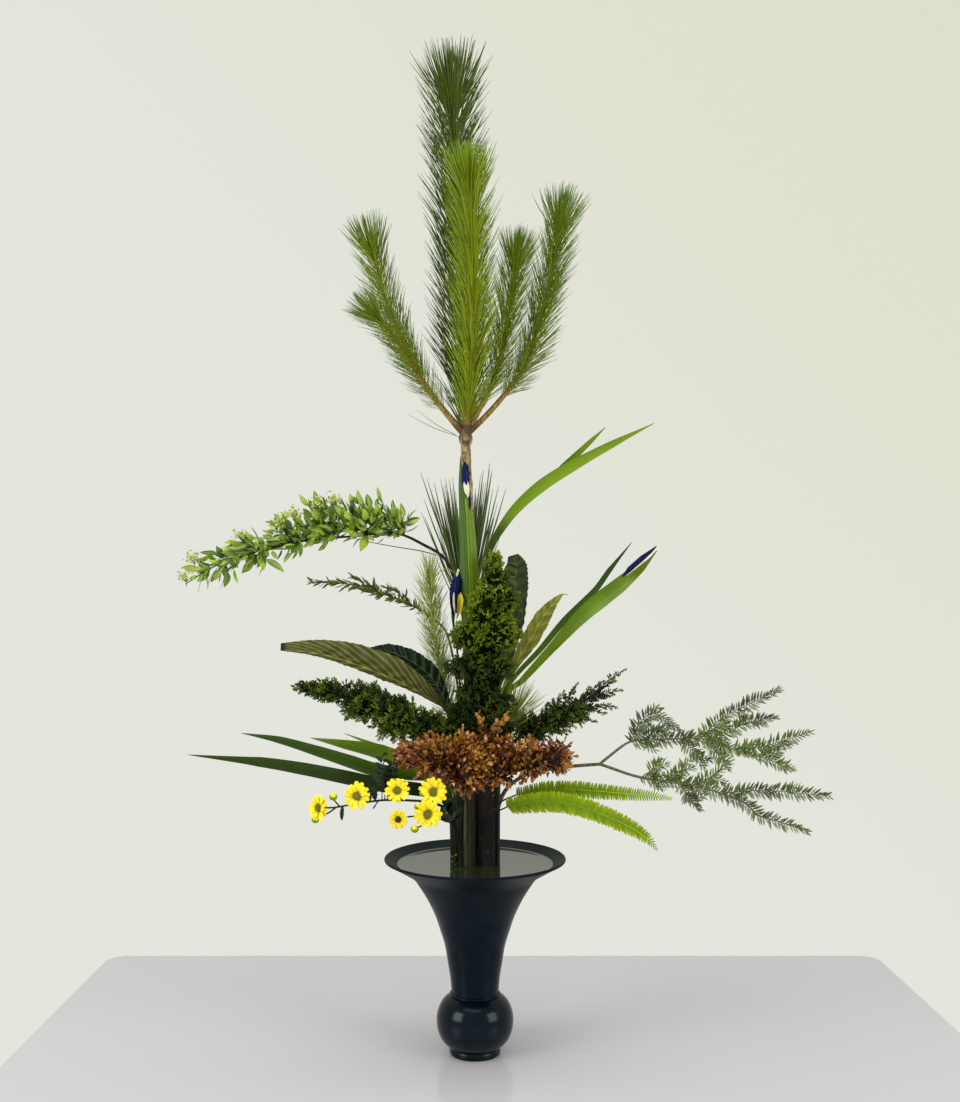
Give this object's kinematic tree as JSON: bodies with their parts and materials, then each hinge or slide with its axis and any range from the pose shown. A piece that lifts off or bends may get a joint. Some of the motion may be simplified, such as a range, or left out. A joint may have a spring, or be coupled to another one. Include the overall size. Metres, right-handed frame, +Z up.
{
  "type": "ikebana arrangement",
  "caption": "Tall rikka-style flower arrangement of pine, iris, juniper, boxwood, spirea, fern and spray chrysanthemum, standing in water in a flared bronze vase.",
  "frame": {"origin": "centre of the flat underside of the vase's foot, which is also the vase's axis", "axes": "+Z up along the vase's axis, -Y towards the viewer of the arrangement's front, +X to that viewer's right"},
  "size_m": [0.8141, 0.2653, 1.362],
  "materials": {
    "vase": "satin",
    "water": "gloss",
    "straw": "matte",
    "straw_tie": "matte",
    "pine_bark": "matte",
    "pine_needles": "satin",
    "iris_leaf": "satin",
    "iris_flower": "matte",
    "twig": "matte",
    "loquat_leaf": "satin",
    "juniper": "matte",
    "boxwood": "satin",
    "spirea": "matte",
    "dark_sprig": "satin",
    "streaming_branch": "matte",
    "stalk": "matte",
    "chrysanthemum": "matte",
    "fern": "matte"
  },
  "bodies": {
    "root": {"vase": "vase", "water": "water", "straw_bundle": "straw", "bundle_tie_upper": "straw_tie", "bundle_tie_lower": "straw_tie", "pine_trunk": "pine_bark", "pine_needles_tall": "pine_needles", "pine_needles_center": "pine_needles", "pine_needles_left_upper": "pine_needles", "pine_needles_left_lower": "pine_needles", "pine_needles_right_inner": "pine_needles", "pine_needles_right_outer": "pine_needles", "pine_rear_tuft": "pine_needles", "pine_side_brush": "pine_needles", "pine_right_tuft": "pine_needles", "iris_leaf_center": "iris_leaf", "iris_leaf_upper_right": "iris_leaf", "iris_spathe_right": "iris_leaf", "iris_leaf_right_rear": "iris_leaf", "iris_leaf_left_1": "iris_leaf", "iris_leaf_left_2": "iris_leaf", "iris_leaf_left_3": "iris_leaf", "iris_leaf_left_4": "iris_leaf", "iris_flower_upper": "iris_flower", "iris_flower_lower": "iris_flower", "iris_bud_right": "iris_flower", "loquat_stem_front": "twig", "loquat_stem_back": "twig", "loquat_leaf_left": "loquat_leaf", "loquat_leaf_front": "loquat_leaf", "loquat_leaf_back": "loquat_leaf", "loquat_leaf_right": "loquat_leaf", "juniper_center": "juniper", "juniper_left": "juniper", "juniper_right": "juniper", "boxwood": "boxwood", "spirea_branch": "spirea", "dark_sprig": "dark_sprig", "streaming_branch": "streaming_branch", "chrysanthemum_stem_upper": "stalk", "chrysanthemum_stem_lower": "stalk", "chrysanthemum_1": "chrysanthemum", "chrysanthemum_2": "chrysanthemum", "chrysanthemum_3": "chrysanthemum", "chrysanthemum_4": "chrysanthemum", "chrysanthemum_5": "chrysanthemum", "chrysanthemum_6": "chrysanthemum", "fern_upper": "fern", "fern_lower": "fern"}
  },
  "joints": []
}
